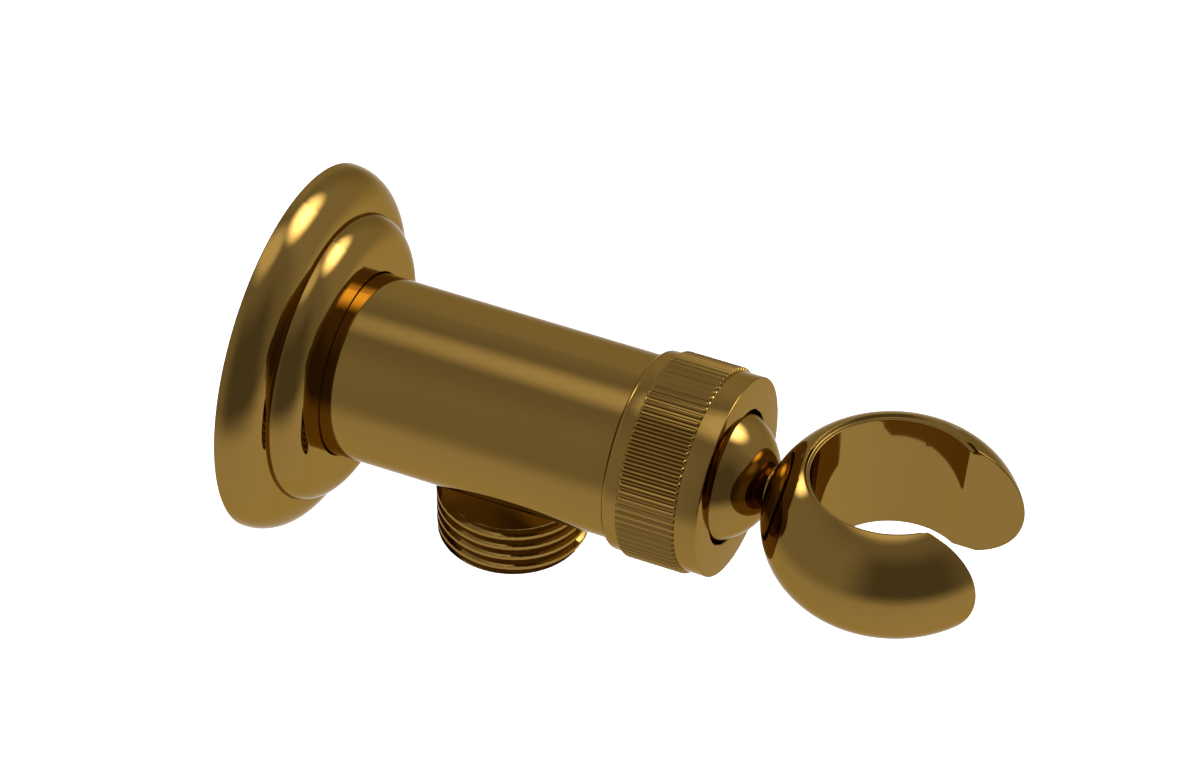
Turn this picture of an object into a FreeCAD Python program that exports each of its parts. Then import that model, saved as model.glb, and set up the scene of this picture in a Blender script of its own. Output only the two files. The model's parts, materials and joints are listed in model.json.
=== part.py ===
import FreeCAD, Part
import math
import os

# Hand shower holder with a water outlet, in millimetres.
# The pipe axis is the Y axis. The wall is the plane Y = 0 and the fitting
# stands out from it along -Y. The hose outlet points down, along -Z.
# The origin is the centre of the threaded inlet at the wall.
# Distances "out" are measured from the wall along -Y.

# Clearances
RUNNING_GAP = 0.05        # radial gap of a turning or sliding fit
SLIDING_GAP = 0.10        # radial gap of the flange on the body
THREAD_GAP = 0.03         # radial gap of a screwed joint drawn as plain cylinders
FACE_GAP = 0.05           # gap between flat faces of pieces that turn on each other
TUCK = 1.0                # overrun of a cutting shape past the face that it cuts
TOUCH = 0.001             # edges nearer than this to a plane lie in it

# Elbow body
BODY_RADIUS = 12.80
BODY_LENGTH = 50.85       # wall to the shoulder behind the cap
BODY_EDGE = 0.05          # chamfer at the shoulder
INLET_THREAD_RADIUS = 9.3155   # crest of an internal G 1/2 thread
INLET_THREAD_LENGTH = 13.0
WATERWAY_RADIUS = 6.0
WATERWAY_PAST_OUTLET = 7.5     # from the outlet axis to the end of the bore
SPIGOT_RADIUS = 12.0      # crest of the cap's thread, M24 x 1
SPIGOT_CHAMFER = 0.5
SPIGOT_FRONT_GAP = 1.0    # spigot end to the front seat ring

# Wall flange
FLANGE_RADIUS = 25.79
FLANGE_STEP = 5.49        # out from the wall
FLANGE_ROUND = 5.35
FLANGE_HUB_RADIUS = 20.32
FLANGE_DEPTH = 9.15
FLANGE_HUB_ROUND = 4.25
FLANGE_WALL = 1.6
FLANGE_SLEEVE_WALL = 2.9
FLANGE_SLEEVE_BACK = 1.2  # out from the wall
FLANGE_BORE_EDGE = 0.15
FLANGE_RING_SECTION = 0.72     # section radius of the O-ring
FLANGE_RING_PLACE = 4.6        # out from the wall

# Outlet nipple
OUTLET_SET_BACK = 19.06   # outlet axis behind the body's shoulder
OUTLET_DROP = 21.10       # pipe axis to the nipple's end
OUTLET_RADIUS = 10.4775   # crest of an external G 1/2 thread
OUTLET_CHAMFER = 0.55
OUTLET_THREAD_LENGTH = 8.04
OUTLET_RUN_OUT = 0.60     # above the full thread, where its crests fade
OUTLET_RUN_OUT_DEPTH = 0.12
OUTLET_CONE_ANGLE = 25.0  # slope of the cone above the thread, from level
OUTLET_RECESS_GAP = 0.10  # radial gap between nipple and the recess round it
OUTLET_WATER_RADIUS = 5.5
OUTLET_NECK_WALL = 1.5    # leaves an M14 x 1 neck on the nipple
OUTLET_WASHER = 0.8
OUTLET_SEAT_WALL = 0.7    # between the waterway and the washer's seat

# Check valve cartridge in the nipple
VALVE_POCKET_RADIUS = 7.5
VALVE_COLLAR_RADIUS = 8.3
VALVE_COLLAR = 0.95
VALVE_RECESS = 0.2        # collar face to the nipple's end
VALVE_LENGTH = 7.8
VALVE_BORE_RADIUS = 5.9
VALVE_SEAT_PLATE = 1.0
VALVE_SEAT_RADIUS = 3.9
VALVE_RING_SECTION = 0.38
VALVE_RING_PLACE = 2.6    # below the cartridge's top
VALVE_SEAL_WIDTH = 1.1
VALVE_SEAL_THICKNESS = 0.6
POPPET_RADIUS = 4.9
POPPET_THICKNESS = 0.9
POPPET_STEM_RADIUS = 1.2
POPPET_STEM_BELOW_CAGE = 0.3
CAGE_DROP = 2.6           # poppet disc to the cage's hub
CAGE_THICKNESS = 1.1
CAGE_HUB_RADIUS = 3.1
CAGE_RIM = 0.9
CAGE_SPOKES = 3
CAGE_SPOKE_WIDTH = 1.2
SPRING_RADIUS = 2.4       # mean radius of the coil
SPRING_WIRE = 0.20        # wire radius
SPRING_HALF_TURNS = 4

# Swivel ball
BALL_RADIUS = 9.683
BALL_SET_BACK = 4.11      # ball centre behind the cap's front face
BALL_FLAT = 0.366         # depth of the flat at the neck
NECK_RADIUS = 3.2
STUD_RADIUS = 3.0         # crest of the stud, M6
STUD_LENGTH = 5.0
STUD_CHAMFER = 0.5
STUD_RUN_OUT = 0.3

# Ball seats
CUP_EDGE_BACK = 3.2       # cup edge behind the ball's centre
CUP_FLOOR = 4.0           # behind the ball's back
CUP_HOLE_RADIUS = 4.0
CUP_WALL = 0.8            # outside the ball's radius
SEAT_SPRING_HEIGHT = 2.35
SEAT_SPRING_THICKNESS = 0.7
SEAT_SPRING_HOLE_RADIUS = 5.4
SEAT_RING_WIDTH = 1.9
SEAT_RING_WALL = 1.85     # outside the ball's radius

# Knurled cap
CAP_GAP = 0.05            # shoulder to the cap's back
CAP_LENGTH = 13.89
CAP_RADIUS = 13.86
CAP_ROUND = 0.85          # back edge
CAP_FRONT_ROUND = 0.15
CAP_LIP = 1.54
CAP_HOLE_RADIUS = 9.39
CAP_HOLE_EDGE = 0.12
CAP_LIP_CHAMFER = 0.5
KNURL_RADIUS = 14.335     # rib crests
KNURL_START = 2.4         # from the cap's back
KNURL_LENGTH = 8.4
KNURL_END_ROUND = 0.25    # along the ends of the ribs
KNURL_DEPTH = 0.40
KNURL_RIBS = 82
KNURL_CREST = 0.16        # width of a rib's top
KNURL_FLOOR = 0.28        # width between two ribs

# Holder ring
RING_TOP = 8.85                # crest of the rim above the pipe axis
RING_BOTTOM = 8.60             # below the pipe axis
RING_BARREL_RADIUS = 9.87      # arc of the barrel's section
RING_BARREL_CENTRE = 7.66      # radius at which that arc has its centre
RING_RIM_ANGLE = 28.0          # slope of the rim down into the bore, from level
RING_TOP_BORE = 11.15
RING_BOTTOM_BORE = 10.15
RING_SLOT_HALF_WIDTH = 8.62
RING_TOP_ROUND = 0.45          # along the rim's crest
RING_BORE_ROUND = 0.12
RING_SLOT_ROUND = 0.10
RING_SPOT_FACE = 0.396         # depth of the flat for the neck
RING_SPOT_GAP = 0.2            # spot face wider than the neck

# Places out from the wall
OUTLET_DISTANCE = BODY_LENGTH - OUTLET_SET_BACK
CAP_BACK = BODY_LENGTH + CAP_GAP
CAP_FRONT = CAP_BACK + CAP_LENGTH
LIP_BACK = CAP_FRONT - CAP_LIP
SEAT_RING_FRONT = LIP_BACK - FACE_GAP
SEAT_RING_BACK = SEAT_RING_FRONT - SEAT_RING_WIDTH
SPIGOT_END = SEAT_RING_BACK - SPIGOT_FRONT_GAP
BALL_CENTRE = CAP_FRONT - BALL_SET_BACK
CUP_EDGE = BALL_CENTRE - CUP_EDGE_BACK
CUP_BACK = BALL_CENTRE - BALL_RADIUS - CUP_FLOOR
SOCKET_FLOOR = CUP_BACK - SEAT_SPRING_HEIGHT - 2 * FACE_GAP
NECK_FACE = BALL_CENTRE + BALL_RADIUS - BALL_FLAT
RING_SEAT = NECK_FACE + FACE_GAP
RING_RADIUS = RING_BARREL_CENTRE + RING_BARREL_RADIUS
RING_CENTRE = RING_SEAT - RING_SPOT_FACE + RING_RADIUS

# Radii that follow from a mating piece
CUP_RADIUS = BALL_RADIUS + CUP_WALL
SOCKET_RADIUS = CUP_RADIUS + RUNNING_GAP
SEAT_RADIUS = BALL_RADIUS + RUNNING_GAP
SEAT_RING_RADIUS = BALL_RADIUS + SEAT_RING_WALL
FLANGE_BORE = BODY_RADIUS + SLIDING_GAP
OUTLET_RECESS = OUTLET_RADIUS + OUTLET_RECESS_GAP
OUTLET_NECK_RADIUS = OUTLET_WATER_RADIUS + OUTLET_NECK_WALL
VALVE_RADIUS = VALVE_POCKET_RADIUS - RUNNING_GAP

# Heights on the outlet's axis
OUTLET_SEAT = -WATERWAY_RADIUS - OUTLET_SEAT_WALL
OUTLET_TOP = OUTLET_SEAT - OUTLET_WASHER
OUTLET_THREAD_TOP = OUTLET_THREAD_LENGTH - OUTLET_DROP
OUTLET_CONE_FOOT = OUTLET_THREAD_TOP + OUTLET_RUN_OUT
OUTLET_CONE_WIDTH = OUTLET_RADIUS - OUTLET_RUN_OUT_DEPTH - OUTLET_NECK_RADIUS
OUTLET_CONE_TOP = OUTLET_CONE_FOOT + OUTLET_CONE_WIDTH * math.tan(math.radians(OUTLET_CONE_ANGLE))
VALVE_BOTTOM = VALVE_RECESS - OUTLET_DROP
VALVE_TOP = VALVE_BOTTOM + VALVE_LENGTH
VALVE_SEAT = VALVE_TOP - VALVE_SEAT_PLATE
POPPET_TOP = VALVE_SEAT - FACE_GAP - VALVE_SEAL_THICKNESS
POPPET_UNDERSIDE = POPPET_TOP - POPPET_THICKNESS
CAGE_TOP = POPPET_UNDERSIDE - CAGE_DROP
CAGE_BOTTOM = CAGE_TOP - CAGE_THICKNESS

PIPE_AXIS = FreeCAD.Vector(0, 1, 0)
UP = FreeCAD.Vector(0, 0, 1)


def on_pipe(out, radius):
    """Point of an outline that is turned about the pipe axis."""
    return FreeCAD.Vector(0, -out, radius)


def on_outlet(height, radius):
    """Point of an outline that is turned about the outlet's axis."""
    return FreeCAD.Vector(radius, -OUTLET_DISTANCE, height)


def on_ring(height, radius):
    """Point of an outline that is turned about the holder ring's axis."""
    return FreeCAD.Vector(radius, -RING_CENTRE, height)


class Outline:
    """Closed outline of lines and arcs, drawn as (distance along the axis, radius)."""

    def __init__(self, place, along, radius):
        self.place = place
        self.first = (along, radius)
        self.last = self.first
        self.edges = []

    def line(self, along, radius):
        self.edges.append(Part.makeLine(self.place(*self.last), self.place(along, radius)))
        self.last = (along, radius)
        return self

    def arc(self, centre_along, centre_radius, along, radius):
        """Arc about a centre, the short way round to the end point."""
        centre = FreeCAD.Vector(centre_along, centre_radius, 0)
        start = FreeCAD.Vector(self.last[0], self.last[1], 0) - centre
        end = FreeCAD.Vector(along, radius, 0) - centre
        middle = (start.normalize() + end.normalize()).normalize()
        reach = math.hypot(along - centre_along, radius - centre_radius)
        middle = centre + middle * reach
        points = (self.place(*self.last), self.place(middle.x, middle.y), self.place(along, radius))
        self.edges.append(Part.Arc(*points).toShape())
        self.last = (along, radius)
        return self

    def turned(self):
        """Solid of revolution about the outline's own axis."""
        if self.last != self.first:
            self.line(*self.first)
        axis_point = self.place(0, 0)
        axis = self.place(1, 0) - axis_point
        face = Part.Face(Part.Wire(self.edges))
        return solid_of(face.revolve(axis_point, axis, 360))


def solid_of(shape):
    """The single solid in a shape, with its faces turned outwards."""
    solid = shape.Solids[0]
    if solid.Volume < 0:
        solid.reverse()
    return solid


def plain_ring(place, start, end, inner, outer):
    """Ring with a rectangular section."""
    return Outline(place, start, inner).line(end, inner).line(end, outer).line(start, outer).turned()


def plain_rod(place, start, end, radius):
    """Solid cylinder on an axis."""
    return Outline(place, start, 0).line(end, 0).line(end, radius).line(start, radius).turned()


def section_ring(place, along, centre_radius, section_radius):
    """O-ring, a round section turned about the axis."""
    outline = Outline(place, along - section_radius, centre_radius)
    outline.arc(along, centre_radius, along, centre_radius + section_radius)
    outline.arc(along, centre_radius, along + section_radius, centre_radius)
    outline.arc(along, centre_radius, along, centre_radius - section_radius)
    outline.arc(along, centre_radius, along - section_radius, centre_radius)
    return outline.turned()


def domed_disc(radius, depth, edge_round):
    """Disc on the wall with a quarter round along its front edge."""
    outline = Outline(on_pipe, 0, 0).line(0, radius).line(depth - edge_round, radius)
    outline.arc(depth - edge_round, radius - edge_round, depth, radius - edge_round)
    return outline.line(depth, 0).turned()


# Wall flange and its friction ring

def wall_flange():
    """Two-step cover with rounded edges, hollow behind, on a sleeve round the body."""
    rim = domed_disc(FLANGE_RADIUS, FLANGE_STEP, FLANGE_ROUND)
    hub = domed_disc(FLANGE_HUB_RADIUS, FLANGE_DEPTH, FLANGE_HUB_ROUND)
    cover = rim.fuse(hub).removeSplitter()
    rim_hollow = domed_disc(FLANGE_RADIUS - FLANGE_WALL, FLANGE_STEP - FLANGE_WALL,
                            FLANGE_ROUND - FLANGE_WALL)
    hub_hollow = domed_disc(FLANGE_HUB_RADIUS - FLANGE_WALL, FLANGE_DEPTH - FLANGE_WALL,
                            FLANGE_HUB_ROUND - FLANGE_WALL)
    shell = cover.cut(rim_hollow.fuse(hub_hollow))
    sleeve_end = FLANGE_DEPTH - FLANGE_WALL / 2
    sleeve = plain_rod(on_pipe, FLANGE_SLEEVE_BACK, sleeve_end, FLANGE_BORE + FLANGE_SLEEVE_WALL)
    body = shell.fuse(sleeve)
    bore = plain_rod(on_pipe, -TUCK, FLANGE_DEPTH + TUCK, FLANGE_BORE)
    edge = Outline(on_pipe, FLANGE_DEPTH + TUCK, 0)
    edge.line(FLANGE_DEPTH + TUCK, FLANGE_BORE + FLANGE_BORE_EDGE + TUCK)
    edge.line(FLANGE_DEPTH - FLANGE_BORE_EDGE, FLANGE_BORE).line(FLANGE_DEPTH - FLANGE_BORE_EDGE, 0)
    half_groove = FLANGE_RING_SECTION + FACE_GAP
    groove = plain_rod(on_pipe, FLANGE_RING_PLACE - half_groove, FLANGE_RING_PLACE + half_groove,
                       BODY_RADIUS + 2 * RUNNING_GAP + 2 * FLANGE_RING_SECTION)
    return solid_of(body.cut(bore).cut(edge.turned()).cut(groove).removeSplitter())


def flange_o_ring():
    """Rubber ring that holds the flange where it is pushed on the body."""
    centre = BODY_RADIUS + RUNNING_GAP + FLANGE_RING_SECTION
    return section_ring(on_pipe, FLANGE_RING_PLACE, centre, FLANGE_RING_SECTION)


# Elbow body

def elbow_body():
    """Turned bar with the inlet, the waterway, the ball socket and the cap's spigot."""
    bar = Outline(on_pipe, 0, 0).line(0, BODY_RADIUS)
    bar.line(BODY_LENGTH - BODY_EDGE, BODY_RADIUS).line(BODY_LENGTH, BODY_RADIUS - BODY_EDGE)
    bar.line(BODY_LENGTH, SPIGOT_RADIUS).line(SPIGOT_END - SPIGOT_CHAMFER, SPIGOT_RADIUS)
    bar.line(SPIGOT_END, SPIGOT_RADIUS - SPIGOT_CHAMFER).line(SPIGOT_END, 0)
    body = bar.turned()
    inlet = plain_rod(on_pipe, -TUCK, INLET_THREAD_LENGTH, INLET_THREAD_RADIUS)
    waterway_end = OUTLET_DISTANCE + WATERWAY_PAST_OUTLET
    waterway = plain_rod(on_pipe, -TUCK, waterway_end, WATERWAY_RADIUS)
    socket = plain_rod(on_pipe, SOCKET_FLOOR, SPIGOT_END + TUCK, SOCKET_RADIUS)
    recess = Outline(on_outlet, -OUTLET_DROP, 0).line(-OUTLET_DROP, OUTLET_RECESS)
    recess.line(OUTLET_CONE_FOOT + FACE_GAP, OUTLET_RECESS)
    recess.line(OUTLET_CONE_TOP + FACE_GAP, OUTLET_NECK_RADIUS).line(OUTLET_CONE_TOP + FACE_GAP, 0)
    neck_hole = plain_rod(on_outlet, OUTLET_THREAD_TOP, OUTLET_SEAT, OUTLET_NECK_RADIUS + THREAD_GAP)
    drain = plain_rod(on_outlet, OUTLET_THREAD_TOP, 0, OUTLET_WATER_RADIUS)
    for hole in (inlet, waterway, socket, recess.turned(), neck_hole, drain):
        body = body.cut(hole)
    return solid_of(body)


# Outlet nipple and its washer

def outlet_nipple():
    """Threaded hose nipple with a cone and a neck, screwed up into the body, and a valve pocket."""
    end = -OUTLET_DROP
    outside = Outline(on_outlet, end, 0).line(end, OUTLET_RADIUS - OUTLET_CHAMFER)
    outside.line(end + OUTLET_CHAMFER, OUTLET_RADIUS).line(OUTLET_THREAD_TOP, OUTLET_RADIUS)
    outside.line(OUTLET_CONE_FOOT, OUTLET_RADIUS - OUTLET_RUN_OUT_DEPTH)
    outside.line(OUTLET_CONE_TOP, OUTLET_NECK_RADIUS).line(OUTLET_TOP, OUTLET_NECK_RADIUS)
    nipple = outside.line(OUTLET_TOP, 0).turned()
    mouth = plain_rod(on_outlet, end - TUCK, VALVE_BOTTOM + VALVE_COLLAR,
                      VALVE_COLLAR_RADIUS + RUNNING_GAP)
    pocket = plain_rod(on_outlet, end - TUCK, VALVE_TOP + FACE_GAP, VALVE_POCKET_RADIUS)
    water = plain_rod(on_outlet, end - TUCK, OUTLET_TOP + TUCK, OUTLET_WATER_RADIUS)
    return solid_of(nipple.cut(mouth).cut(pocket).cut(water))


def outlet_washer():
    """Flat seal between the nipple's neck and its seat in the body."""
    return plain_ring(on_outlet, OUTLET_TOP, OUTLET_SEAT, OUTLET_WATER_RADIUS, OUTLET_NECK_RADIUS)


# Check valve cartridge

def valve_ring_groove_radius():
    """Bottom of the cartridge's O-ring groove."""
    return VALVE_POCKET_RADIUS - THREAD_GAP - 2 * VALVE_RING_SECTION


def check_valve_housing():
    """Moulded sleeve with a collar below, a seat plate above and an O-ring groove."""
    outside = Outline(on_outlet, VALVE_BOTTOM, VALVE_BORE_RADIUS)
    outside.line(VALVE_BOTTOM, VALVE_COLLAR_RADIUS).line(VALVE_BOTTOM + VALVE_COLLAR, VALVE_COLLAR_RADIUS)
    outside.line(VALVE_BOTTOM + VALVE_COLLAR, VALVE_RADIUS)
    groove_middle = VALVE_TOP - VALVE_RING_PLACE
    half_groove = VALVE_RING_SECTION + FACE_GAP
    groove_radius = valve_ring_groove_radius() - THREAD_GAP
    outside.line(groove_middle - half_groove, VALVE_RADIUS).line(groove_middle - half_groove, groove_radius)
    outside.line(groove_middle + half_groove, groove_radius).line(groove_middle + half_groove, VALVE_RADIUS)
    outside.line(VALVE_TOP, VALVE_RADIUS).line(VALVE_TOP, VALVE_SEAT_RADIUS)
    return outside.line(VALVE_SEAT, VALVE_SEAT_RADIUS).line(VALVE_SEAT, VALVE_BORE_RADIUS).turned()


def check_valve_o_ring():
    """Seal between cartridge and nipple."""
    centre = valve_ring_groove_radius() + VALVE_RING_SECTION
    return section_ring(on_outlet, VALVE_TOP - VALVE_RING_PLACE, centre, VALVE_RING_SECTION)


def check_valve_cage():
    """Spoked guide for the poppet's stem."""
    rim_radius = VALVE_BORE_RADIUS - THREAD_GAP
    rim = plain_ring(on_outlet, CAGE_BOTTOM, CAGE_TOP, rim_radius - CAGE_RIM, rim_radius)
    hub = plain_rod(on_outlet, CAGE_BOTTOM, CAGE_TOP, CAGE_HUB_RADIUS)
    cage = rim.fuse(hub)
    spoke_length = rim_radius - CAGE_RIM / 2
    for number in range(CAGE_SPOKES):
        corner = FreeCAD.Vector(0, -OUTLET_DISTANCE - CAGE_SPOKE_WIDTH / 2, CAGE_BOTTOM)
        spoke = Part.makeBox(spoke_length, CAGE_SPOKE_WIDTH, CAGE_THICKNESS, corner)
        spoke.rotate(on_outlet(0, 0), UP, number * 360.0 / CAGE_SPOKES)
        cage = cage.fuse(spoke)
    guide = plain_rod(on_outlet, CAGE_BOTTOM - TUCK, CAGE_TOP + TUCK, POPPET_STEM_RADIUS + RUNNING_GAP)
    return solid_of(cage.cut(guide).removeSplitter())


def check_valve_poppet():
    """Valve disc with a locating boss for its seal above and a guided stem below."""
    boss_radius = POPPET_RADIUS - VALVE_SEAL_WIDTH - THREAD_GAP
    boss_top = POPPET_TOP + VALVE_SEAL_THICKNESS
    stem_end = CAGE_BOTTOM - POPPET_STEM_BELOW_CAGE
    outline = Outline(on_outlet, stem_end, 0).line(stem_end, POPPET_STEM_RADIUS)
    outline.line(POPPET_UNDERSIDE, POPPET_STEM_RADIUS).line(POPPET_UNDERSIDE, POPPET_RADIUS)
    outline.line(POPPET_TOP, POPPET_RADIUS).line(POPPET_TOP, boss_radius).line(boss_top, boss_radius)
    return outline.line(boss_top, 0).turned()


def check_valve_seal():
    """Rubber ring on the poppet that closes on the seat plate."""
    return plain_ring(on_outlet, POPPET_TOP, POPPET_TOP + VALVE_SEAL_THICKNESS,
                      POPPET_RADIUS - VALVE_SEAL_WIDTH, POPPET_RADIUS)


def coil_line(height):
    """Middle line of the coil, with each half turn a half circle that is tilted to climb."""
    climb = height / SPRING_HALF_TURNS
    half_circles = []
    for number in range(SPRING_HALF_TURNS):
        side = -SPRING_RADIUS if number % 2 else SPRING_RADIUS
        start = FreeCAD.Vector(side, 0, number * climb)
        end = FreeCAD.Vector(-side, 0, (number + 1) * climb)
        middle = (start + end) / 2 + FreeCAD.Vector(0, side, 0)
        half_circles.append(Part.Arc(start, middle, end).toShape())
    return Part.Wire(half_circles)


def check_valve_spring():
    """Coil spring between the cage's hub and the poppet."""
    height = POPPET_UNDERSIDE - CAGE_TOP - 2 * SPRING_WIRE - 2 * THREAD_GAP
    section = Part.Wire(Part.makeCircle(SPRING_WIRE, FreeCAD.Vector(SPRING_RADIUS, 0, 0), PIPE_AXIS))
    spring = coil_line(height).makePipeShell([section], True, False)
    spring.translate(on_outlet(CAGE_TOP + SPRING_WIRE + THREAD_GAP, 0))
    return solid_of(spring)


# Ball joint

def ball_half_chord(from_centre, radius):
    """Radius of a sphere's section at a distance from its centre."""
    return math.sqrt(radius ** 2 - from_centre ** 2)


def swivel_ball():
    """Ball with a flat, a short neck and the threaded stud for the holder ring."""
    neck_meets_ball = BALL_CENTRE + ball_half_chord(NECK_RADIUS, BALL_RADIUS)
    stud_end = NECK_FACE + STUD_LENGTH
    outline = Outline(on_pipe, BALL_CENTRE - BALL_RADIUS, 0)
    outline.arc(BALL_CENTRE, 0, BALL_CENTRE, BALL_RADIUS)
    outline.arc(BALL_CENTRE, 0, neck_meets_ball, NECK_RADIUS)
    outline.line(NECK_FACE, NECK_RADIUS).line(NECK_FACE, STUD_RADIUS)
    outline.line(stud_end - STUD_CHAMFER, STUD_RADIUS).line(stud_end, STUD_RADIUS - STUD_CHAMFER)
    return outline.line(stud_end, 0).turned()


def seat_cup():
    """Slippery cup behind the ball, pressed forward by the disc spring."""
    edge_radius = ball_half_chord(CUP_EDGE_BACK, SEAT_RADIUS)
    hole_meets_seat = BALL_CENTRE - ball_half_chord(CUP_HOLE_RADIUS, SEAT_RADIUS)
    outline = Outline(on_pipe, CUP_EDGE, edge_radius)
    outline.arc(BALL_CENTRE, 0, hole_meets_seat, CUP_HOLE_RADIUS)
    outline.line(CUP_BACK, CUP_HOLE_RADIUS).line(CUP_BACK, CUP_RADIUS)
    return outline.line(CUP_EDGE, CUP_RADIUS).turned()


def seat_spring():
    """Cone-shaped disc spring between the socket's floor and the cup."""
    floor = SOCKET_FLOOR + FACE_GAP
    top = floor + SEAT_SPRING_HEIGHT
    outer = SOCKET_RADIUS - SLIDING_GAP
    outline = Outline(on_pipe, floor, outer).line(floor + SEAT_SPRING_THICKNESS, outer)
    outline.line(top, SEAT_SPRING_HOLE_RADIUS)
    return outline.line(top - SEAT_SPRING_THICKNESS, SEAT_SPRING_HOLE_RADIUS).turned()


def front_seat_ring():
    """Slippery ring between the cap's lip and the ball."""
    front_radius = ball_half_chord(SEAT_RING_FRONT - BALL_CENTRE, SEAT_RADIUS)
    back_radius = ball_half_chord(SEAT_RING_BACK - BALL_CENTRE, SEAT_RADIUS)
    outline = Outline(on_pipe, SEAT_RING_BACK, back_radius)
    outline.arc(BALL_CENTRE, 0, SEAT_RING_FRONT, front_radius)
    outline.line(SEAT_RING_FRONT, SEAT_RING_RADIUS)
    return outline.line(SEAT_RING_BACK, SEAT_RING_RADIUS).turned()


# Knurled cap

def knurl_band():
    """Band of straight ribs with rounded ends, drawn as one zigzag prism in a turned blank."""
    start = CAP_BACK + KNURL_START
    end = start + KNURL_LENGTH
    core = SPIGOT_RADIUS + THREAD_GAP
    shoulder = KNURL_RADIUS - KNURL_END_ROUND
    blank = Outline(on_pipe, start, core).line(start, shoulder)
    blank.arc(start + KNURL_END_ROUND, shoulder, start + KNURL_END_ROUND, KNURL_RADIUS)
    blank.line(end - KNURL_END_ROUND, KNURL_RADIUS)
    blank.arc(end - KNURL_END_ROUND, shoulder, end, shoulder).line(end, core)
    pitch = 2 * math.pi / KNURL_RIBS
    half_crest = KNURL_CREST / KNURL_RADIUS / 2
    half_floor = KNURL_FLOOR / KNURL_RADIUS / 2
    floor_radius = KNURL_RADIUS - KNURL_DEPTH
    corners = []
    for number in range(KNURL_RIBS):
        crest = number * pitch
        floor = crest + pitch / 2
        for angle, radius in ((crest - half_crest, KNURL_RADIUS), (crest + half_crest, KNURL_RADIUS),
                              (floor - half_floor, floor_radius), (floor + half_floor, floor_radius)):
            corners.append(FreeCAD.Vector(radius * math.cos(angle), -start, radius * math.sin(angle)))
    corners.append(corners[0])
    prism = Part.Face(Part.makePolygon(corners)).extrude(FreeCAD.Vector(0, -KNURL_LENGTH, 0))
    return blank.turned().common(prism)


def knurled_cap():
    """Screw cap with a rounded back edge, a knurled band and a lip in front of the ball."""
    thread = SPIGOT_RADIUS + THREAD_GAP
    seat_pocket = SEAT_RING_RADIUS + RUNNING_GAP
    pocket_back = SEAT_RING_BACK - SPIGOT_FRONT_GAP / 2
    outline = Outline(on_pipe, CAP_BACK, thread).line(CAP_BACK, CAP_RADIUS - CAP_ROUND)
    outline.arc(CAP_BACK + CAP_ROUND, CAP_RADIUS - CAP_ROUND, CAP_BACK + CAP_ROUND, CAP_RADIUS)
    outline.line(CAP_FRONT - CAP_FRONT_ROUND, CAP_RADIUS)
    outline.arc(CAP_FRONT - CAP_FRONT_ROUND, CAP_RADIUS - CAP_FRONT_ROUND,
                CAP_FRONT, CAP_RADIUS - CAP_FRONT_ROUND)
    outline.line(CAP_FRONT, CAP_HOLE_RADIUS + CAP_HOLE_EDGE)
    outline.line(CAP_FRONT - CAP_HOLE_EDGE, CAP_HOLE_RADIUS)
    outline.line(LIP_BACK + CAP_LIP_CHAMFER, CAP_HOLE_RADIUS)
    outline.line(LIP_BACK, CAP_HOLE_RADIUS + CAP_LIP_CHAMFER)
    outline.line(LIP_BACK, seat_pocket).line(pocket_back, seat_pocket).line(pocket_back, thread)
    return solid_of(outline.turned().fuse(knurl_band()))


# Holder ring

def holder_ring():
    """Open barrel-shaped ring with a dished rim, a tapered bore, a front slot and a stud hole."""
    half_height = (RING_TOP + RING_BOTTOM) / 2
    rim = RING_BARREL_CENTRE + ball_half_chord(half_height, RING_BARREL_RADIUS)
    bore_top = RING_TOP - (rim - RING_TOP_BORE) * math.tan(math.radians(RING_RIM_ANGLE))
    outline = Outline(on_ring, -RING_BOTTOM, RING_BOTTOM_BORE).line(-RING_BOTTOM, rim)
    outline.arc(RING_TOP - half_height, RING_BARREL_CENTRE, RING_TOP, rim)
    ring = outline.line(bore_top, RING_TOP_BORE).turned()
    for height, rim_round in ((RING_TOP, RING_TOP_ROUND), (bore_top, RING_BORE_ROUND)):
        rims = [edge for edge in ring.Edges if abs(edge.BoundBox.ZMin - height) < TOUCH
                and edge.BoundBox.ZLength < TOUCH]
        ring = ring.makeFillet(rim_round, rims)
    slot_corner = FreeCAD.Vector(-RING_SLOT_HALF_WIDTH, -RING_CENTRE - RING_RADIUS - TUCK,
                                 -RING_BOTTOM - TUCK)
    slot = Part.makeBox(2 * RING_SLOT_HALF_WIDTH, RING_RADIUS + TUCK,
                        RING_TOP + RING_BOTTOM + 2 * TUCK, slot_corner)
    ring = ring.cut(slot)
    slot_edges = [edge for edge in ring.Edges if edge.BoundBox.XLength < TOUCH
                  and abs(abs(edge.BoundBox.XMin) - RING_SLOT_HALF_WIDTH) < TOUCH]
    ring = ring.makeFillet(RING_SLOT_ROUND, slot_edges)
    spot = plain_rod(on_pipe, RING_SEAT - RING_SPOT_FACE - TUCK, RING_SEAT, NECK_RADIUS + RING_SPOT_GAP)
    stud_hole = plain_rod(on_pipe, RING_SEAT - TUCK, NECK_FACE + STUD_LENGTH + STUD_RUN_OUT,
                          STUD_RADIUS + RUNNING_GAP)
    return solid_of(ring.cut(spot).cut(stud_hole))


PIECES = (
    wall_flange,
    flange_o_ring,
    elbow_body,
    outlet_nipple,
    outlet_washer,
    check_valve_housing,
    check_valve_o_ring,
    check_valve_cage,
    check_valve_poppet,
    check_valve_seal,
    check_valve_spring,
    seat_spring,
    seat_cup,
    swivel_ball,
    front_seat_ring,
    knurled_cap,
    holder_ring,
)

os.makedirs("parts", exist_ok=True)
for piece in PIECES:
    piece().exportStep("parts/" + piece.__name__ + ".step")
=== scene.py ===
import json
import math

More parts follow.
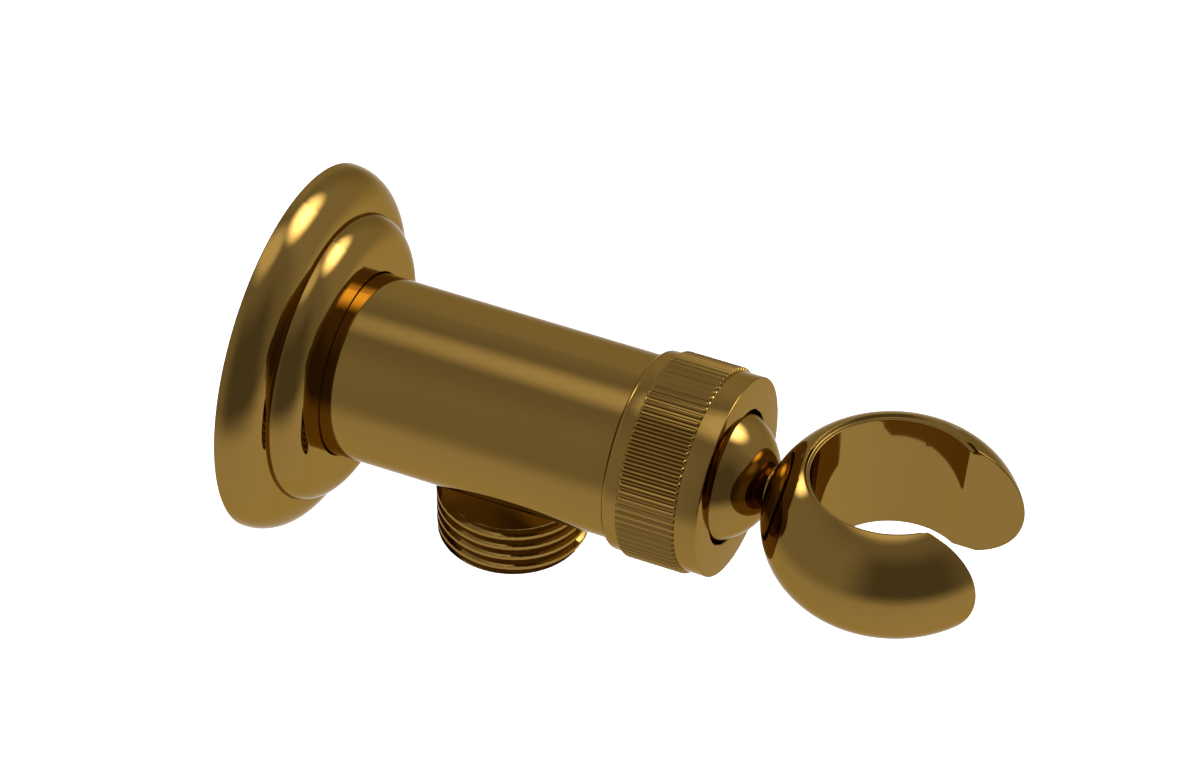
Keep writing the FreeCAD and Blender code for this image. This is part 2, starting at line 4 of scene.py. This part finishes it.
import bpy
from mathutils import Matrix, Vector


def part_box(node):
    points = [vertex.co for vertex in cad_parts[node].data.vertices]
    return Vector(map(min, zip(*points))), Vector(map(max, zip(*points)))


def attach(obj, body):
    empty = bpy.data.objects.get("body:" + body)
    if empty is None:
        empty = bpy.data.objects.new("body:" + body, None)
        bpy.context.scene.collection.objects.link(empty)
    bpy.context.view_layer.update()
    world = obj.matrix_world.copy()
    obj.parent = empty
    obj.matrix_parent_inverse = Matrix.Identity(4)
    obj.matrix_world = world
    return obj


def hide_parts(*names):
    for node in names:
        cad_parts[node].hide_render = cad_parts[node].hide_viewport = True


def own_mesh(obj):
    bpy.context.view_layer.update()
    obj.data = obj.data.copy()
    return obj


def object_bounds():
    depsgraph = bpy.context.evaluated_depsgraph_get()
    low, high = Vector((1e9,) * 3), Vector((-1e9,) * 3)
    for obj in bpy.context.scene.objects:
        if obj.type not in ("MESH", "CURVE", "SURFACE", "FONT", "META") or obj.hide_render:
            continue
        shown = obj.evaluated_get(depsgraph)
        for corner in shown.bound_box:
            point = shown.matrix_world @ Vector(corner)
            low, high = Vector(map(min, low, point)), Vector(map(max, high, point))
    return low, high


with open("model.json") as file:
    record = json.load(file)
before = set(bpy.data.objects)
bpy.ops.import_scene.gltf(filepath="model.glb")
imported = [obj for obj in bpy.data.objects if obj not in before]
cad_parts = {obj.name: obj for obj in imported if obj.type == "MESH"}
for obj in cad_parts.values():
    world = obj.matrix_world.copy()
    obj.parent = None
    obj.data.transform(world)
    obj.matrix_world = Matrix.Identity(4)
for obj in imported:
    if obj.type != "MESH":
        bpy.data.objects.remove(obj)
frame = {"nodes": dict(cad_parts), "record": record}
CAD_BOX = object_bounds()
MM = 0.001

# Camera, in millimetres and degrees
CAMERA_AZIMUTH = -65.471
CAMERA_ELEVATION = 41.139
CAMERA_DISTANCE = 806.67
CAMERA_AIM_RIGHT = 40.729     # from the origin, across the view
CAMERA_AIM_UP = -5.681
CAMERA_LENS = 177.58
SENSOR_WIDTH = 36.0
CLIP_NEAR = 10.0
CLIP_FAR = 50000.0

# Studio light; azimuth 0 is the front (-Y), 90 is +X, and all angles are in degrees
WALLS = [  # azimuth, brightness
    (-180, 0.515), (-116, 0.515), (-78, 0.19), (-29, 0.19), (7, 0.405), (29, 0.61),
    (65, 0.62), (95, 0.45), (108, 0.64), (121, 0.55), (174, 0.50), (180, 0.515)]
LIGHTS = [  # azimuth, elevation, inner and outer angle, brightness
    (136, 85.7, 9, 26, 1.46),
    (61, 49, 1, 25.5, 10.0),
    (157, 28.5, 0, 12.4, 7.2)]
CEILING_FADE = (30, 69)       # elevations between which the walls turn into the ceiling
CEILING_BRIGHTNESS = 0.405
GROUND_FADE = (-6.8, -34)     # elevations between which the walls turn into the ground
GROUND_DEEP_FADE = (-34, -80)
GROUND_BRIGHTNESS = (0.92, 0.965)     # at either end of the deep fade
GROUND_BRIGHT_SIDE = 68
GROUND_SLANT = 0.08           # how much brighter the ground is towards its bright side

# Floor, in metres
FLOOR_REACH = 3.0
FLOOR_GAP = 0.0002            # below the object
FLOOR_GLOW = 0.9

# Range that holds most of a noise, and the roundings of the mesh pieces
NOISE_LOW = 0.3
NOISE_HIGH = 0.7
ARC_STEPS = 6
SHARP_ANGLE = math.radians(30)

# Outlet thread, G 1/2, in millimetres
THREAD_CREST = 10.4775
THREAD_PITCH = 1.814
THREAD_CREST_FLAT = 0.50
THREAD_ROOT_FLAT = 0.20
THREAD_FLANK_SLOPE = math.tan(math.radians(30))     # height over depth
THREAD_DEPTH = (THREAD_PITCH - THREAD_CREST_FLAT - THREAD_ROOT_FLAT) / 2 / THREAD_FLANK_SLOPE
THREAD_FIRST_CREST = -13.03
THREAD_CHAMFER = 0.55
THREAD_SIDES = 288
THREAD_ROW = 0.04             # height between two rows of points
THREAD_OVERRUN = 1.05         # share of the depth over which rows go on along the cone

# Nipple, in millimetres, as in the CAD
NIPPLE_TOP = -7.5
NIPPLE_NECK = 7.0
NIPPLE_RUN_OUT_FOOT = -13.06  # where the thread's crests start to fade
NIPPLE_RUN_OUT_DEPTH = 0.12
NIPPLE_CONE_FOOT = -12.46     # where the cone above the thread starts
NIPPLE_CONE_SLOPE = math.tan(math.radians(25))
NIPPLE_WATER = 5.5
NIPPLE_POCKET = 7.5
NIPPLE_POCKET_TOP = -13.05
NIPPLE_MOUTH = 8.35
NIPPLE_MOUTH_TOP = -19.95

# Screw cap, in millimetres, as (out from the wall, radius), as in the CAD
CAP_BACK = [(60.80, 11.583), (60.80, 12.03), (50.90, 12.03)]
CAP_BACK_ROUND = (51.75, 13.01, 0.85)       # centre and radius
CAP_FRONT_ROUND = (64.64, 13.71, 0.15)
CAP_FRONT = [(64.79, 9.51), (64.67, 9.39), (63.75, 9.39), (63.25, 9.89), (63.25, 11.583)]
CAP_RADIUS = 13.86
KNURL_START = 53.30
KNURL_END = 61.70
KNURL_RIBS = 82
KNURL_CREST_RADIUS = 14.335
KNURL_FLOOR_RADIUS = 13.935
KNURL_END_ROUND = 0.34
KNURL_FLANK = [  # from the middle of a rib at its crest's radius, share of its height
    (0.4092, 0), (0.34, 0.21), (0.26, 0.453), (0.18, 0.69), (0.10, 0.925), (0.06, 1)]

# Lip round the holder ring's rim, in millimetres, as (radius, height) from the ring's axis
RING_BARREL_RADIUS = 9.87
RING_BARREL_CENTRE = (7.66, 0.125)
RING_SLOT_HALF_WIDTH = 8.62
LIP_BORE_FOOT = (11.143, 8.10)
LIP_BORE_EDGE = (11.157, 8.56)
LIP_BORE_ROUND = 0.07
LIP_FOOT = (11.64, 8.60)
LIP_FOOT_ROUND = 0.12
LIP_CREST_RADIUS = 11.90
LIP_CREST_ROUND = 0.05
LIP_OUTER_RADIUS = 12.60
LIP_END_ROUND = 0.10
LIP_END_STEPS = 4
LIP_COVER = 0.003             # how far it stands over the ring's own faces
LIP_INNER_DEPTH = 0.10        # how far its edges reach into the ring
LIP_OUTER_DEPTH = 0.20
LIP_COLUMNS = 240


# Node helpers

def new_material(name):
    """Empty node material with its node tree and its shader."""
    material = bpy.data.materials.new(name)
    material.use_nodes = True
    tree = material.node_tree
    tree.nodes.clear()
    output = tree.nodes.new("ShaderNodeOutputMaterial")
    shader = tree.nodes.new("ShaderNodeBsdfPrincipled")
    tree.links.new(shader.outputs["BSDF"], output.inputs["Surface"])
    return material, tree, shader


def noise(tree, scale, detail):
    """Noise over the piece's own coordinates."""
    place = tree.nodes.new("ShaderNodeTexCoord")
    texture = tree.nodes.new("ShaderNodeTexNoise")
    texture.inputs["Scale"].default_value = scale
    texture.inputs["Detail"].default_value = detail
    tree.links.new(place.outputs["Object"], texture.inputs["Vector"])
    return texture.outputs["Fac"]


def map_range(tree, value, low, high, to_low, to_high, smooth=False):
    """Value carried from one range to another."""
    node = tree.nodes.new("ShaderNodeMapRange")
    node.interpolation_type = "SMOOTHSTEP" if smooth else "LINEAR"
    node.inputs["From Min"].default_value = low
    node.inputs["From Max"].default_value = high
    node.inputs["To Min"].default_value = to_low
    node.inputs["To Max"].default_value = to_high
    tree.links.new(value, node.inputs["Value"])
    return node.outputs["Result"]


def fill_sockets(tree, sockets, values):
    """Put a number into each socket, or link it to the socket that is given instead."""
    for socket, value in zip(sockets, values):
        if isinstance(value, (int, float)):
            socket.default_value = value
        else:
            tree.links.new(value, socket)


def math_node(tree, operation, *values):
    """Result of one sum; each value is a socket or a number."""
    node = tree.nodes.new("ShaderNodeMath")
    node.operation = operation
    fill_sockets(tree, node.inputs, values)
    return node.outputs["Value"]


def mix_values(tree, share, first, second):
    """Value between two, by a share."""
    node = tree.nodes.new("ShaderNodeMix")
    node.data_type = "FLOAT"
    fill_sockets(tree, (node.inputs[0], node.inputs[2], node.inputs[3]), (share, first, second))
    return node.outputs[0]


def dot_with(tree, vector, axis):
    """Dot product of a vector socket and a fixed axis."""
    node = tree.nodes.new("ShaderNodeVectorMath")
    node.operation = "DOT_PRODUCT"
    node.inputs[1].default_value = axis
    tree.links.new(vector, node.inputs[0])
    return node.outputs["Value"]


# Materials

def mottle(tree, shader, first, second, scale, detail):
    """Base colour that drifts between two shades."""
    ramp = tree.nodes.new("ShaderNodeValToRGB")
    low, high = ramp.color_ramp.elements
    low.position = NOISE_LOW
    low.color = (*first, 1)
    high.position = NOISE_HIGH
    high.color = (*second, 1)
    tree.links.new(noise(tree, scale, detail), ramp.inputs["Fac"])
    tree.links.new(ramp.outputs["Color"], shader.inputs["Base Color"])


def uneven_polish(tree, shader, low, high, scale, detail):
    """Roughness that drifts between two values."""
    roughness = map_range(tree, noise(tree, scale, detail), NOISE_LOW, NOISE_HIGH, low, high)
    tree.links.new(roughness, shader.inputs["Roughness"])


def grain(tree, shader, strength, distance, scale, detail):
    """Fine bumps in the surface, their height in metres."""
    bump = tree.nodes.new("ShaderNodeBump")
    bump.inputs["Strength"].default_value = strength
    bump.inputs["Distance"].default_value = distance
    tree.links.new(noise(tree, scale, detail), bump.inputs["Height"])
    tree.links.new(bump.outputs["Normal"], shader.inputs["Normal"])


def gold_metal():
    """Polished antique gold plating with faint cloudiness from the buffing wheel."""
    material, tree, shader = new_material("gold_metal")
    mottle(tree, shader, (0.286, 0.170, 0.0405), (0.296, 0.175, 0.0435), scale=90, detail=3)
    uneven_polish(tree, shader, 0.045, 0.06, scale=240, detail=4)
    grain(tree, shader, strength=0.02, distance=0.00005, scale=900, detail=2)
    shader.inputs["Metallic"].default_value = 1.0
    shader.inputs["Specular Tint"].default_value = (0.70, 0.61, 0.48, 1)
    return material


def black_rubber():
    """Moulded seal rubber with a dull, grained face."""
    material, tree, shader = new_material("black_rubber")
    mottle(tree, shader, (0.012, 0.012, 0.013), (0.022, 0.022, 0.023), scale=500, detail=4)
    uneven_polish(tree, shader, 0.5, 0.65, scale=800, detail=3)
    grain(tree, shader, strength=0.2, distance=0.00003, scale=2500, detail=3)
    return material


def white_plastic():
    """Natural acetal, slightly mottled."""
    material, tree, shader = new_material("white_plastic")
    mottle(tree, shader, (0.74, 0.74, 0.71), (0.80, 0.80, 0.77), scale=150, detail=3)
    uneven_polish(tree, shader, 0.30, 0.42, scale=600, detail=3)
    grain(tree, shader, strength=0.08, distance=0.00002, scale=1800, detail=2)
    return material


def spring_steel():
    """Drawn stainless wire and strip with fine marks."""
    material, tree, shader = new_material("spring_steel")
    mottle(tree, shader, (0.50, 0.49, 0.47), (0.60, 0.59, 0.57), scale=700, detail=4)
    uneven_polish(tree, shader, 0.18, 0.30, scale=1500, detail=3)
    grain(tree, shader, strength=0.1, distance=0.00001, scale=4000, detail=2)
    shader.inputs["Metallic"].default_value = 1.0
    return material


# Mesh helpers

def mesh_piece(name, vertices, faces):
    """Mesh object with smooth faces and sharp edges at its corners."""
    mesh = bpy.data.meshes.new(name)
    mesh.from_pydata(vertices, [], faces)
    mesh.validate()
    mesh.update()
    piece = bpy.data.objects.new(name, mesh)
    bpy.context.scene.collection.objects.link(piece)
    mesh.shade_smooth()
    mesh.set_sharp_from_angle(angle=SHARP_ANGLE)
    return piece


def ring_faces(rings, size, bands):
    """Faces of a number of bands, each between one closed ring of points and the next."""
    faces = []
    for ring in range(bands):
        after = (ring + 1) % rings
        for point in range(size):
            beside = (point + 1) % size
            faces.append((ring * size + point, after * size + point,
                          after * size + beside, ring * size + beside))
    return faces


def named(rows, name):
    """Row of the record that has a name."""
    return next(row for row in rows if row["name"] == name)


# Threaded nipple

def thread_depth_at(height, turn):
    """Depth below the crest at a height, for a share of a turn."""
    phase = (height - THREAD_FIRST_CREST) / THREAD_PITCH + turn
    from_crest = abs(phase - round(phase)) * THREAD_PITCH
    return min(max((from_crest - THREAD_CREST_FLAT / 2) / THREAD_FLANK_SLOPE, 0), THREAD_DEPTH)


def cone_radius(height):
    """Radius of the fading crests and of the cone above the thread, at a height."""
    if height >= NIPPLE_CONE_FOOT:
        return THREAD_CREST - NIPPLE_RUN_OUT_DEPTH - (height - NIPPLE_CONE_FOOT) / NIPPLE_CONE_SLOPE
    faded = (height - NIPPLE_RUN_OUT_FOOT) / (NIPPLE_CONE_FOOT - NIPPLE_RUN_OUT_FOOT)
    return THREAD_CREST - NIPPLE_RUN_OUT_DEPTH * max(faded, 0)


def thread_rows(end):
    """Heights of the thread's rows, from above its root on the cone down to the end face."""
    start = NIPPLE_CONE_FOOT + THREAD_OVERRUN * THREAD_DEPTH * NIPPLE_CONE_SLOPE
    count = round((start - end) / THREAD_ROW)
    return [start - (start - end) * number / count for number in range(count + 1)]


def thread_ring(height, end):
    """Radii round the thread at a height."""
    chamfer = THREAD_CREST - THREAD_CHAMFER + (height - end)
    return [min(THREAD_CREST - thread_depth_at(height, side / THREAD_SIDES), chamfer, cone_radius(height))
            for side in range(THREAD_SIDES)]


def threaded_nipple():
    """Hose nipple with a real helical thread, hollow as the CAD node is."""
    low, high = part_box("outlet_nipple")
    end = low.z / MM
    axis_y = (low.y + high.y) / 2
    cone_width = THREAD_CREST - NIPPLE_RUN_OUT_DEPTH - NIPPLE_NECK
    cone_top = NIPPLE_CONE_FOOT + cone_width * NIPPLE_CONE_SLOPE
    above = [(NIPPLE_WATER, NIPPLE_TOP), (NIPPLE_NECK, NIPPLE_TOP), (NIPPLE_NECK, cone_top)]
    below = [(NIPPLE_MOUTH, end), (NIPPLE_MOUTH, NIPPLE_MOUTH_TOP), (NIPPLE_POCKET, NIPPLE_MOUTH_TOP),
             (NIPPLE_POCKET, NIPPLE_POCKET_TOP), (NIPPLE_WATER, NIPPLE_POCKET_TOP)]
    rings = [([radius] * THREAD_SIDES, height) for radius, height in above]
    rings += [(thread_ring(height, end), height) for height in thread_rows(end)]
    rings += [([radius] * THREAD_SIDES, height) for radius, height in below]
    vertices = []
    for radii, height in rings:
        for side, radius in enumerate(radii):
            angle = 2 * math.pi * side / THREAD_SIDES
            vertices.append((radius * MM * math.cos(angle), axis_y + radius * MM * math.sin(angle),
                             height * MM))
    faces = ring_faces(len(rings), THREAD_SIDES, len(rings))
    return mesh_piece("outlet_nipple_threaded", vertices, faces)


# Knurled cap

def quarter_arc(centre_out, centre_radius, radius, first, last):
    """Points of a small arc of the cap's outline, between two angles from straight out."""
    angles = [math.radians(first + (last - first) * step / ARC_STEPS) for step in range(ARC_STEPS + 1)]
    return [(centre_out + radius * math.cos(angle), centre_radius + radius * math.sin(angle))
            for angle in angles]


def cap_rows():
    """Rows from the thread round the outside to the pocket, as (out, radius, share of the ribs)."""
    ends = []
    for step in range(ARC_STEPS + 1):
        angle = math.radians(90 * step / ARC_STEPS)
        ends.append((KNURL_END_ROUND * (1 - math.cos(angle)), math.sin(angle)))
    rows = [(out, radius, 0) for out, radius in CAP_BACK + quarter_arc(*CAP_BACK_ROUND, 180, 90)]
    rows += [(KNURL_START + inward, CAP_RADIUS, share) for inward, share in ends]
    rows += [(KNURL_END - inward, CAP_RADIUS, share) for inward, share in reversed(ends)]
    rows += [(out, radius, 0) for out, radius in quarter_arc(*CAP_FRONT_ROUND, 90, 0) + CAP_FRONT]
    return rows


def rib_height(share, end_share):
    """Height of the knurl over the plain cap, for a place across a rib and a place near its end."""
    full = KNURL_CREST_RADIUS - CAP_RADIUS
    across = (KNURL_FLOOR_RADIUS - CAP_RADIUS + (KNURL_CREST_RADIUS - KNURL_FLOOR_RADIUS) * share) / full
    rounded = 1 - math.hypot(1 - across, 1 - end_share)
    return full * max(rounded, 0)


def rib_columns():
    """Angles round the cap with the rib's share of height at each."""
    pitch = 2 * math.pi / KNURL_RIBS
    section = [(-pitch / 2 * KNURL_CREST_RADIUS, 0)]
    section += [(-across, share) for across, share in KNURL_FLANK]
    section += reversed(KNURL_FLANK)
    return [(number * pitch + across / KNURL_CREST_RADIUS, share)
            for number in range(KNURL_RIBS) for across, share in section]


def knurled_cap():
    """Screw cap with real ribs that end in small rounded beads."""
    columns = rib_columns()
    rows = cap_rows()
    vertices = []
    for out, radius, end_share in rows:
        for angle, share in columns:
            reach = radius + (rib_height(share, end_share) if end_share else 0)
            vertices.append((reach * MM * math.cos(angle), -out * MM, reach * MM * math.sin(angle)))
    faces = ring_faces(len(rows), len(columns), len(rows))
    return mesh_piece("knurled_cap_ribbed", vertices, faces)


# Lip round the ring's rim

def barrel_height(radius):
    """Height of the barrel's face at a radius."""
    across = radius - RING_BARREL_CENTRE[0]
    return RING_BARREL_CENTRE[1] + math.sqrt((RING_BARREL_RADIUS + LIP_COVER) ** 2 - across ** 2)


def rounded_corner(before, corner, after, radius):
    """Points of an arc that rounds the corner of a section."""
    corner = Vector(corner)
    back = (Vector(before) - corner).normalized()
    on = (Vector(after) - corner).normalized()
    half = back.angle(on) / 2
    centre = corner + (back + on).normalized() * radius / math.sin(half)
    start = (corner + back * radius / math.tan(half) - centre).normalized()
    end = (corner + on * radius / math.tan(half) - centre).normalized()
    return [centre + start.slerp(end, step / ARC_STEPS) * radius for step in range(ARC_STEPS + 1)]


def lip_section():
    """Closed section of the lip: bore edge, level ledge, lip, barrel face, and its hidden back."""
    crest = (LIP_CREST_RADIUS, barrel_height(LIP_CREST_RADIUS))
    barrel = []
    for step in range(1, ARC_STEPS + 1):
        radius = LIP_CREST_RADIUS + (LIP_OUTER_RADIUS - LIP_CREST_RADIUS) * step / ARC_STEPS
        barrel.append(Vector((radius, barrel_height(radius))))
    section = [Vector((LIP_BORE_FOOT[0] + LIP_INNER_DEPTH, LIP_BORE_FOOT[1] - LIP_INNER_DEPTH)),
               Vector((LIP_BORE_FOOT[0] - LIP_COVER, LIP_BORE_FOOT[1]))]
    section += rounded_corner(LIP_BORE_FOOT, LIP_BORE_EDGE, LIP_FOOT, LIP_BORE_ROUND)
    section += rounded_corner(LIP_BORE_EDGE, LIP_FOOT, crest, LIP_FOOT_ROUND)
    section += rounded_corner(LIP_FOOT, crest, barrel[0], LIP_CREST_ROUND)
    section += barrel[1:]
    section.append(barrel[-1] - Vector((0, LIP_OUTER_DEPTH)))
    return section


def drawn_in(section, distance):
    """Section with its outline moved inward by a distance."""
    moved = []
    for number, point in enumerate(section):
        along = (section[(number + 1) % len(section)] - section[number - 1]).normalized()
        moved.append(point + Vector((along.y, -along.x)) * distance)
    return moved


def lip_columns():
    """Sections from one slot face round to the other, as (section, half width, share of the way)."""
    section = lip_section()
    ends = []
    for step in range(LIP_END_STEPS):
        angle = math.pi / 2 * step / LIP_END_STEPS
        half_width = RING_SLOT_HALF_WIDTH - LIP_COVER + LIP_END_ROUND * (1 - math.cos(angle))
        ends.append((drawn_in(section, LIP_END_ROUND * (1 - math.sin(angle))), half_width))
    full_width = RING_SLOT_HALF_WIDTH + LIP_END_ROUND
    columns = [(drawn, half_width, 0) for drawn, half_width in ends]
    columns += [(section, full_width, number / LIP_COLUMNS) for number in range(LIP_COLUMNS + 1)]
    columns += [(drawn, half_width, 1) for drawn, half_width in reversed(ends)]
    return columns


def ring_lip():
    """Fine lip and level ledge that finish the rim of the holder ring."""
    centre_y = named(frame["record"]["mounts"], "cradle")["pos_m"][1] / MM
    columns = lip_columns()
    vertices = []
    for section, half_width, share in columns:
        for radius, height in section:
            slot_angle = math.asin(half_width / radius)
            angle = slot_angle + (2 * math.pi - 2 * slot_angle) * share
            out = centre_y - radius * math.cos(angle)
            vertices.append((radius * MM * math.sin(angle), out * MM, height * MM))
    size = len(columns[0][0])
    faces = [tuple(range(size)), tuple(reversed(range(len(vertices) - size, len(vertices))))]
    faces += ring_faces(len(columns), size, len(columns) - 1)
    return mesh_piece("ring_rim_lip", vertices, faces)


# Valve spring

def valve_spring():
    """The valve's coil spring as a piece of its own."""
    mesh = frame["nodes"]["check_valve_spring"].data.copy()
    piece = bpy.data.objects.new("check_valve_spring_coil", mesh)
    bpy.context.scene.collection.objects.link(piece)
    return piece


# Studio

def direction(azimuth, elevation):
    """Unit direction from the object, for two angles in degrees."""
    azimuth = math.radians(azimuth)
    elevation = math.radians(elevation)
    return Vector((math.sin(azimuth) * math.cos(elevation), -math.cos(azimuth) * math.cos(elevation),
                   math.sin(elevation)))


def add_camera():
    """Camera at the photograph's viewing angle."""
    back = direction(CAMERA_AZIMUTH, CAMERA_ELEVATION)
    right = direction(CAMERA_AZIMUTH + 90, 0)
    up = back.cross(right)
    data = bpy.data.cameras.new("camera")
    data.sensor_width = SENSOR_WIDTH
    data.lens = CAMERA_LENS
    data.clip_start = CLIP_NEAR * MM
    data.clip_end = CLIP_FAR * MM
    camera = bpy.data.objects.new("camera", data)
    bpy.context.scene.collection.objects.link(camera)
    place = right * CAMERA_AIM_RIGHT + up * CAMERA_AIM_UP + back * CAMERA_DISTANCE
    camera.location = place * MM
    camera.rotation_mode = "QUATERNION"
    camera.rotation_quaternion = (-back).to_track_quat("-Z", "Y")
    bpy.context.scene.camera = camera


def smooth_fade(tree, angle, start, end, at_start=0, at_end=1):
    """Value that changes smoothly while an angle goes from one to another, in degrees."""
    return map_range(tree, angle, math.radians(start), math.radians(end), at_start, at_end, smooth=True)


def wall_brightness(tree, azimuth):
    """Brightness of the walls all round."""
    walls = tree.nodes.new("ShaderNodeValToRGB")
    ramp = walls.color_ramp
    ramp.interpolation = "EASE"
    while len(ramp.elements) < len(WALLS):
        ramp.elements.new(0.5)
    for element, (degrees, brightness) in zip(ramp.elements, WALLS):
        element.position = (degrees + 180) / 360
        element.color = (brightness, brightness, brightness, 1)
    tree.links.new(map_range(tree, azimuth, -math.pi, math.pi, 0, 1), walls.inputs["Fac"])
    return walls.outputs["Color"]


def studio_brightness(tree):
    """Brightness in each direction: walls, ceiling, pale ground, a light overhead and two round lights."""
    place = tree.nodes.new("ShaderNodeTexCoord").outputs["Generated"]
    azimuth = math_node(tree, "ARCTAN2", dot_with(tree, place, (1, 0, 0)), dot_with(tree, place, (0, -1, 0)))
    elevation = math_node(tree, "ARCSINE", dot_with(tree, place, (0, 0, 1)))
    ceiling = smooth_fade(tree, elevation, *CEILING_FADE)
    brightness = mix_values(tree, ceiling, wall_brightness(tree, azimuth), CEILING_BRIGHTNESS)
    deep = smooth_fade(tree, elevation, *GROUND_DEEP_FADE, *GROUND_BRIGHTNESS)
    towards_side = dot_with(tree, place, direction(GROUND_BRIGHT_SIDE, 0))
    ground = math_node(tree, "ADD", deep, math_node(tree, "MULTIPLY", towards_side, GROUND_SLANT))
    brightness = mix_values(tree, smooth_fade(tree, elevation, *GROUND_FADE), brightness, ground)
    for light_azimuth, light_elevation, inner, outer, light_brightness in LIGHTS:
        towards_light = dot_with(tree, place, direction(light_azimuth, light_elevation))
        share = smooth_fade(tree, math_node(tree, "ARCCOSINE", towards_light), inner, outer, 1, 0)
        brightness = mix_values(tree, share, brightness, light_brightness)
    return brightness


def add_world():
    """Studio light for the object, and a plain white backdrop for the camera."""
    world = bpy.data.worlds.new("studio")
    world.use_nodes = True
    tree = world.node_tree
    tree.nodes.clear()
    studio = tree.nodes.new("ShaderNodeBackground")
    tree.links.new(studio_brightness(tree), studio.inputs["Color"])
    backdrop = tree.nodes.new("ShaderNodeBackground")
    backdrop.inputs["Color"].default_value = (1, 1, 1, 1)
    path = tree.nodes.new("ShaderNodeLightPath")
    choice = tree.nodes.new("ShaderNodeMixShader")
    tree.links.new(path.outputs["Is Camera Ray"], choice.inputs["Fac"])
    tree.links.new(studio.outputs["Background"], choice.inputs[1])
    tree.links.new(backdrop.outputs["Background"], choice.inputs[2])
    output = tree.nodes.new("ShaderNodeOutputWorld")
    tree.links.new(choice.outputs["Shader"], output.inputs["Surface"])
    bpy.context.scene.world = world


def add_floor():
    """Plain pale floor under the object."""
    level = CAD_BOX[0].z - FLOOR_GAP
    corners = [(-FLOOR_REACH, -FLOOR_REACH, level), (FLOOR_REACH, -FLOOR_REACH, level),
               (FLOOR_REACH, FLOOR_REACH, level), (-FLOOR_REACH, FLOOR_REACH, level)]
    floor = mesh_piece("floor", corners, [(0, 1, 2, 3)])
    material, tree, shader = new_material("floor")
    mottle(tree, shader, (0.90, 0.90, 0.90), (0.93, 0.93, 0.93), scale=3, detail=2)
    shader.inputs["Roughness"].default_value = 0.9
    shader.inputs["Emission Color"].default_value = (1, 1, 1, 1)
    shader.inputs["Emission Strength"].default_value = FLOOR_GLOW
    floor.data.materials.append(material)
    floor.visible_glossy = False


# Dress the frame

MATERIALS = {
    "gold_metal": gold_metal(),
    "black_rubber": black_rubber(),
    "white_plastic": white_plastic(),
    "spring_steel": spring_steel(),
}
for subpart in frame["record"]["subparts"]:
    node_mesh = frame["nodes"][subpart["node"]].data
    node_mesh.materials.clear()
    node_mesh.materials.append(MATERIALS[subpart["material_slot"]])

nipple = threaded_nipple()
nipple.data.materials.append(MATERIALS["gold_metal"])
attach(nipple, "fitting")
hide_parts("outlet_nipple")

cap = knurled_cap()
cap.data.materials.append(MATERIALS["gold_metal"])
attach(cap, "cap")
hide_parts("knurled_cap")

spring = valve_spring()
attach(spring, "fitting")
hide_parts("check_valve_spring")
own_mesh(spring)

lip = ring_lip()
lip.data.materials.append(MATERIALS["gold_metal"])
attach(lip, "cradle")

add_camera()
add_world()
add_floor()
bpy.context.scene.view_settings.view_transform = "Standard"
